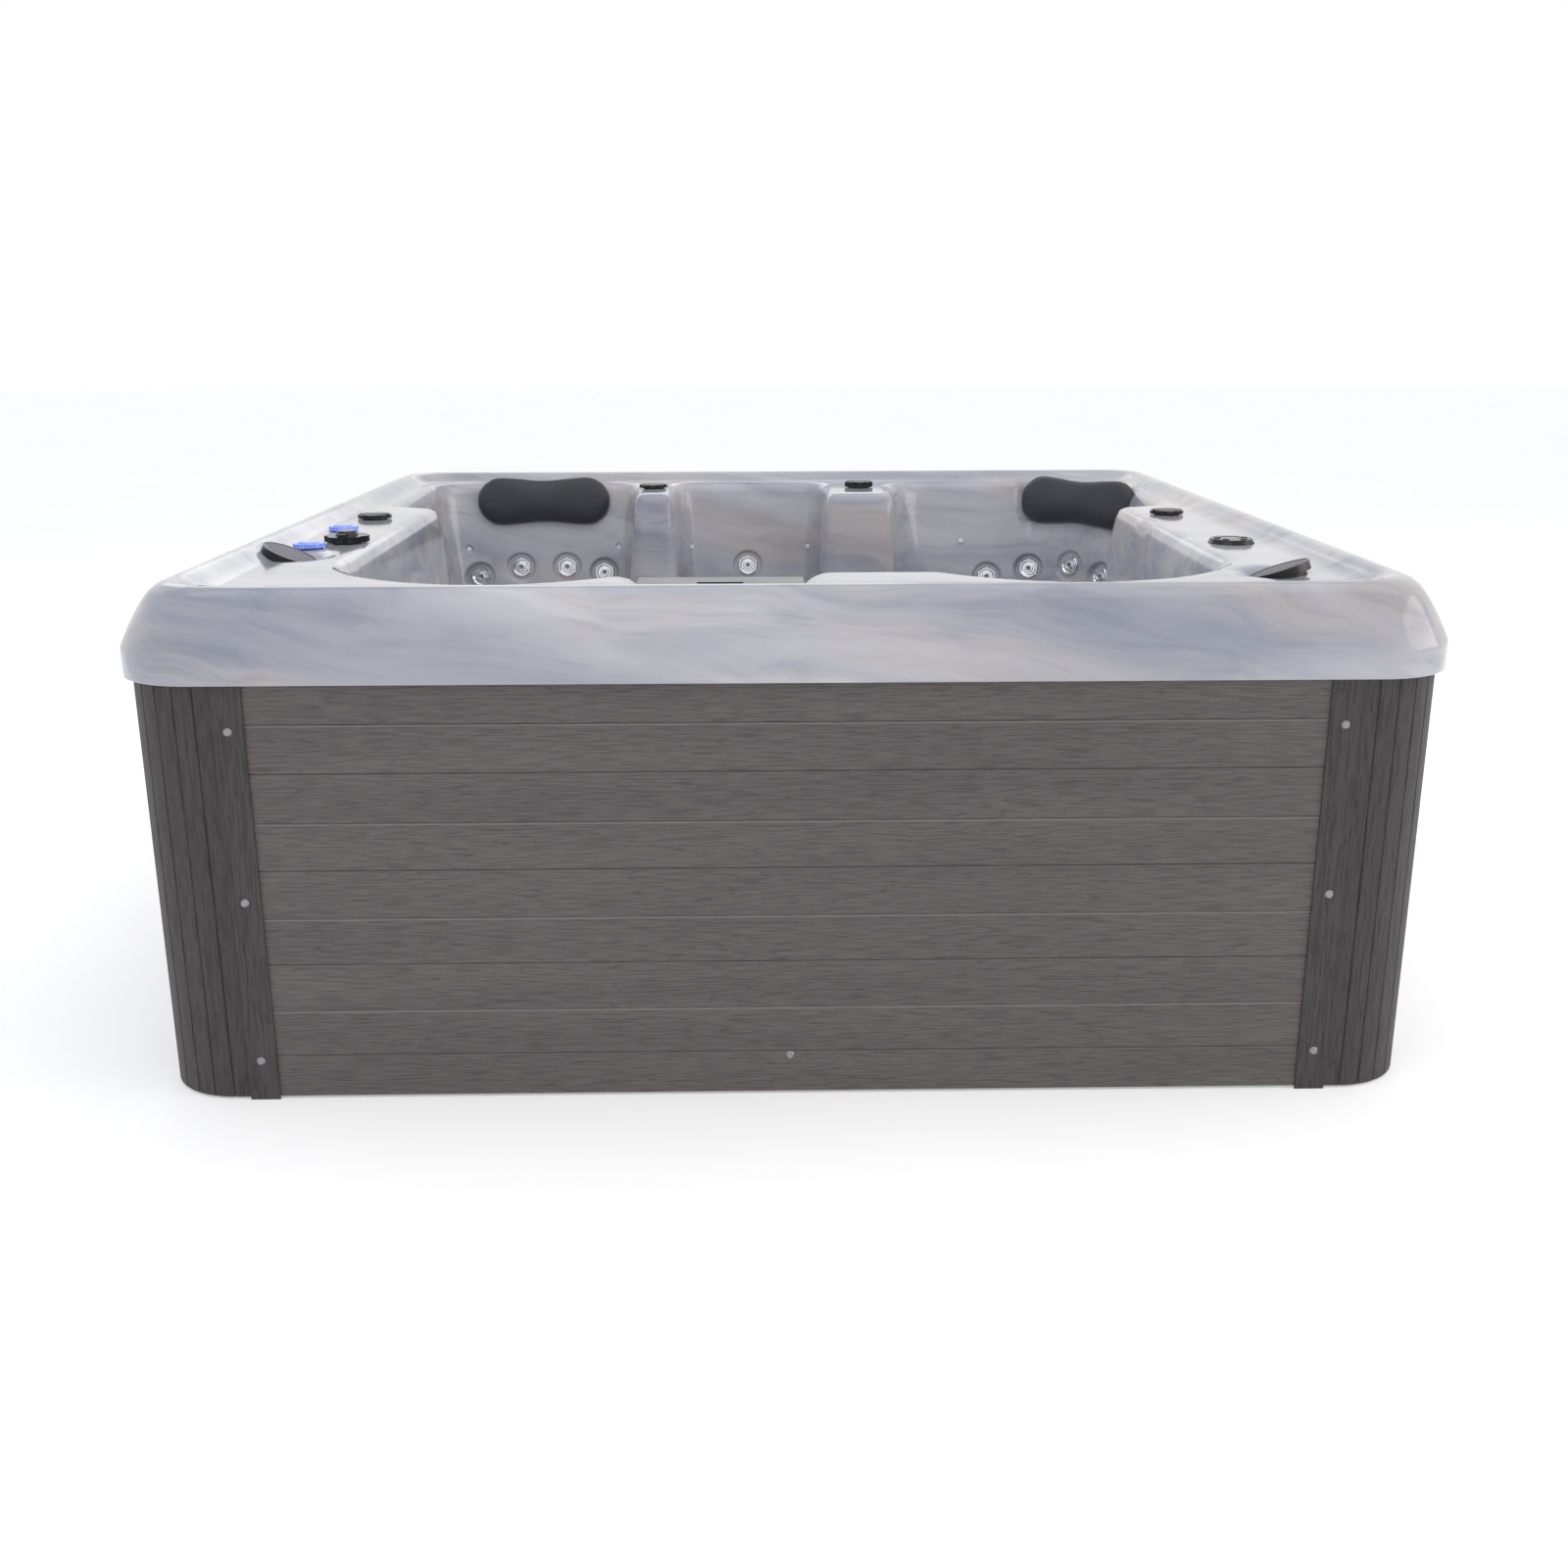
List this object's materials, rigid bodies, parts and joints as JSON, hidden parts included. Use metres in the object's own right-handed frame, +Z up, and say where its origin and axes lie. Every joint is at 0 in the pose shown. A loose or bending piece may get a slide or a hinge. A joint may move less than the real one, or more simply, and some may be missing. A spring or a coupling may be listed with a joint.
{
  "type": "hot tub",
  "caption": "Square hot tub: streaked grey acrylic shell with seats, pillows and turning jets, in a slatted wood-grain cabinet with a rounded lip.",
  "frame": {"origin": "middle of the base, on the ground", "axes": "+Z up, front panel towards -Y, +X to the right seen from the front"},
  "size_m": [2.2, 2.2, 0.878],
  "materials": {
    "pan_plastic": "moulded ABS, satin",
    "timber": "planed softwood",
    "foam": "rigid foam board",
    "cladding": "wood-grain embossed composite board",
    "cladding_dark": "wood-grain embossed composite board, darker",
    "screw_steel": "grey zinc",
    "acrylic": "polished acrylic, grey with blue and beige streaks",
    "pillow_skin": "soft-touch skin on foam",
    "black_plastic": "moulded, satin gloss",
    "grille": "fine mesh",
    "display": "tinted lens",
    "button_plastic": "soft-touch",
    "grey_plastic": "moulded",
    "lit_blue": "translucent, backlit",
    "white_pvc": "moulded PVC",
    "chrome_trim": "polished",
    "lens": "clear moulded lens",
    "filter_paper": "pleated polyester",
    "motor_paint": "satin paint",
    "pump_plastic": "moulded",
    "box_grey": "powder coat",
    "heater_steel": "brushed"
  },
  "bodies": {
    "tub": {"base_pan": "pan_plastic", "bottom_rails": "timber", "frame_posts": "timber", "top_rails": "timber", "insulation_boards": "foam", "front_boards": "cladding", "back_boards": "cladding", "left_boards": "cladding", "right_boards": "cladding", "corner_panels": "cladding_dark", "stiles": "cladding_dark", "cabinet_screws": "screw_steel", "acrylic_shell": "acrylic", "pillow_left": "pillow_skin", "pillow_right": "pillow_skin", "speaker_housings": "black_plastic", "speaker_grilles": "grille", "panel_bezel": "black_plastic", "panel_display": "display", "valve_bodies": "grey_plastic", "air_valve_bodies": "grey_plastic", "jet_housings": "white_pvc", "fixed_jets": "chrome_trim", "led_points": "lens", "skimmer_housing": "grey_plastic", "suction_covers": "black_plastic", "footwell_light": "lens", "pump_motors": "motor_paint", "pump_wet_ends": "pump_plastic", "control_box": "box_grey", "heater_tube": "heater_steel", "plumbing": "white_pvc", "air_blower": "grey_plastic", "drain_valve": "grey_plastic", "power_gland": "grey_plastic"},
    "diverter_knob": {"diverter_knob": "black_plastic"},
    "knob_left_rear": {"knob_left_rear": "black_plastic"},
    "knob_back_left": {"knob_back_left": "black_plastic"},
    "knob_back_right": {"knob_back_right": "black_plastic"},
    "knob_right_rear": {"knob_right_rear": "black_plastic"},
    "air_knob_front": {"air_knob_front": "lit_blue"},
    "air_knob_rear": {"air_knob_rear": "lit_blue"},
    "jet_face_1": {"jet_face_1": "chrome_trim"},
    "jet_face_2": {"jet_face_2": "chrome_trim"},
    "jet_face_3": {"jet_face_3": "chrome_trim"},
    "jet_face_4": {"jet_face_4": "chrome_trim"},
    "jet_face_5": {"jet_face_5": "chrome_trim"},
    "jet_face_6": {"jet_face_6": "chrome_trim"},
    "jet_face_7": {"jet_face_7": "chrome_trim"},
    "jet_face_8": {"jet_face_8": "chrome_trim"},
    "jet_face_9": {"jet_face_9": "chrome_trim"},
    "button_jets": {"button_jets": "button_plastic"},
    "button_light": {"button_light": "button_plastic"},
    "button_warmer": {"button_warmer": "button_plastic"},
    "button_cooler": {"button_cooler": "button_plastic"},
    "filter_lid": {"filter_lid": "black_plastic"},
    "weir_door": {"weir_door": "black_plastic"},
    "filter_cartridge": {"filter_cartridge": "filter_paper"},
    "impeller_left": {"impeller_left": "white_pvc"},
    "impeller_right": {"impeller_right": "white_pvc"}
  },
  "joints": [
    {"name": "diverter_knob_turn", "type": "hinge", "parent": "tub", "child": "diverter_knob", "pos_m": [-0.888, -0.3, 0.85], "axis": [0, 0, 1], "range_deg": [-90, 90]},
    {"name": "knob_left_rear_turn", "type": "hinge", "parent": "tub", "child": "knob_left_rear", "pos_m": [-0.926, 0.112, 0.85], "axis": [0, 0, 1], "range_deg": [-90, 90]},
    {"name": "knob_back_left_turn", "type": "hinge", "parent": "tub", "child": "knob_back_left", "pos_m": [-0.33, 0.8, 0.85], "axis": [0, 0, 1], "range_deg": [-90, 90]},
    {"name": "knob_back_right_turn", "type": "hinge", "parent": "tub", "child": "knob_back_right", "pos_m": [0.228, 0.8, 0.85], "axis": [0, 0, 1], "range_deg": [-90, 90]},
    {"name": "knob_right_rear_turn", "type": "hinge", "parent": "tub", "child": "knob_right_rear", "pos_m": [0.902, 0.13, 0.85], "axis": [0, 0, 1], "range_deg": [-90, 90]},
    {"name": "air_knob_front_turn", "type": "hinge", "parent": "tub", "child": "air_knob_front", "pos_m": [-0.942, -0.388, 0.85], "axis": [0, 0, 1], "range_deg": [0, 180]},
    {"name": "air_knob_rear_turn", "type": "hinge", "parent": "tub", "child": "air_knob_rear", "pos_m": [-0.942, -0.11, 0.85], "axis": [0, 0, 1], "range_deg": [0, 180]},
    {"name": "jet_1_turn", "type": "hinge", "parent": "tub", "child": "jet_face_1", "pos_m": [-0.828, 0.90397, 0.594], "axis": [0, -0.9782, 0.2079], "range_deg": [0, 120]},
    {"name": "jet_2_turn", "type": "hinge", "parent": "tub", "child": "jet_face_2", "pos_m": [-0.714, 0.9095, 0.62], "axis": [0, -0.9782, 0.2079], "range_deg": [0, 120]},
    {"name": "jet_3_turn", "type": "hinge", "parent": "tub", "child": "jet_face_3", "pos_m": [-0.585, 0.9095, 0.62], "axis": [0, -0.9782, 0.2079], "range_deg": [0, 120]},
    {"name": "jet_4_turn", "type": "hinge", "parent": "tub", "child": "jet_face_4", "pos_m": [-0.48, 0.90631, 0.605], "axis": [0, -0.9782, 0.2079], "range_deg": [0, 120]},
    {"name": "jet_5_turn", "type": "hinge", "parent": "tub", "child": "jet_face_5", "pos_m": [-0.076, 0.91014, 0.623], "axis": [0, -0.9782, 0.2079], "range_deg": [0, 120]},
    {"name": "jet_6_turn", "type": "hinge", "parent": "tub", "child": "jet_face_6", "pos_m": [0.6, 0.9027, 0.588], "axis": [0, -0.9782, 0.2079], "range_deg": [0, 120]},
    {"name": "jet_7_turn", "type": "hinge", "parent": "tub", "child": "jet_face_7", "pos_m": [0.71941, 0.90041, 0.611], "axis": [-0.3333, -0.9159, 0.2238], "range_deg": [0, 120]},
    {"name": "jet_8_turn", "type": "hinge", "parent": "tub", "child": "jet_face_8", "pos_m": [0.82065, 0.82065, 0.63], "axis": [-0.6917, -0.6917, 0.2075], "range_deg": [0, 120]},
    {"name": "jet_9_turn", "type": "hinge", "parent": "tub", "child": "jet_face_9", "pos_m": [0.89038, 0.73991, 0.61], "axis": [-0.8359, -0.5022, 0.2216], "range_deg": [0, 120]},
    {"name": "button_jets_press", "type": "slide", "parent": "tub", "child": "button_jets", "axis": [0, 0, -1], "range_m": [0, 0.0015], "stiffness_N_per_m": 400},
    {"name": "button_light_press", "type": "slide", "parent": "tub", "child": "button_light", "axis": [0, 0, -1], "range_m": [0, 0.0015], "stiffness_N_per_m": 400},
    {"name": "button_warmer_press", "type": "slide", "parent": "tub", "child": "button_warmer", "axis": [0, 0, -1], "range_m": [0, 0.0015], "stiffness_N_per_m": 400},
    {"name": "button_cooler_press", "type": "slide", "parent": "tub", "child": "button_cooler", "axis": [0, 0, -1], "range_m": [0, 0.0015], "stiffness_N_per_m": 400},
    {"name": "filter_lid_lift", "type": "slide", "parent": "tub", "child": "filter_lid", "axis": [0, 0, 1], "range_m": [0, 0.25]},
    {"name": "weir_door_swing", "type": "hinge", "parent": "tub", "child": "weir_door", "pos_m": [-0.115, -0.724, 0.666], "axis": [1, 0, 0], "range_deg": [0, 60]},
    {"name": "cartridge_turn", "type": "hinge", "parent": "tub", "child": "filter_cartridge", "pos_m": [-0.115, -0.82, 0.5], "axis": [0, 0, 1], "range_deg": [0, 90]},
    {"name": "impeller_left_spin", "type": "hinge", "parent": "tub", "child": "impeller_left", "pos_m": [-0.47, -0.8, 0.14], "axis": [-1, 0, 0], "continuous": true},
    {"name": "impeller_right_spin", "type": "hinge", "parent": "tub", "child": "impeller_right", "pos_m": [0.47, -0.8, 0.14], "axis": [1, 0, 0], "continuous": true}
  ]
}
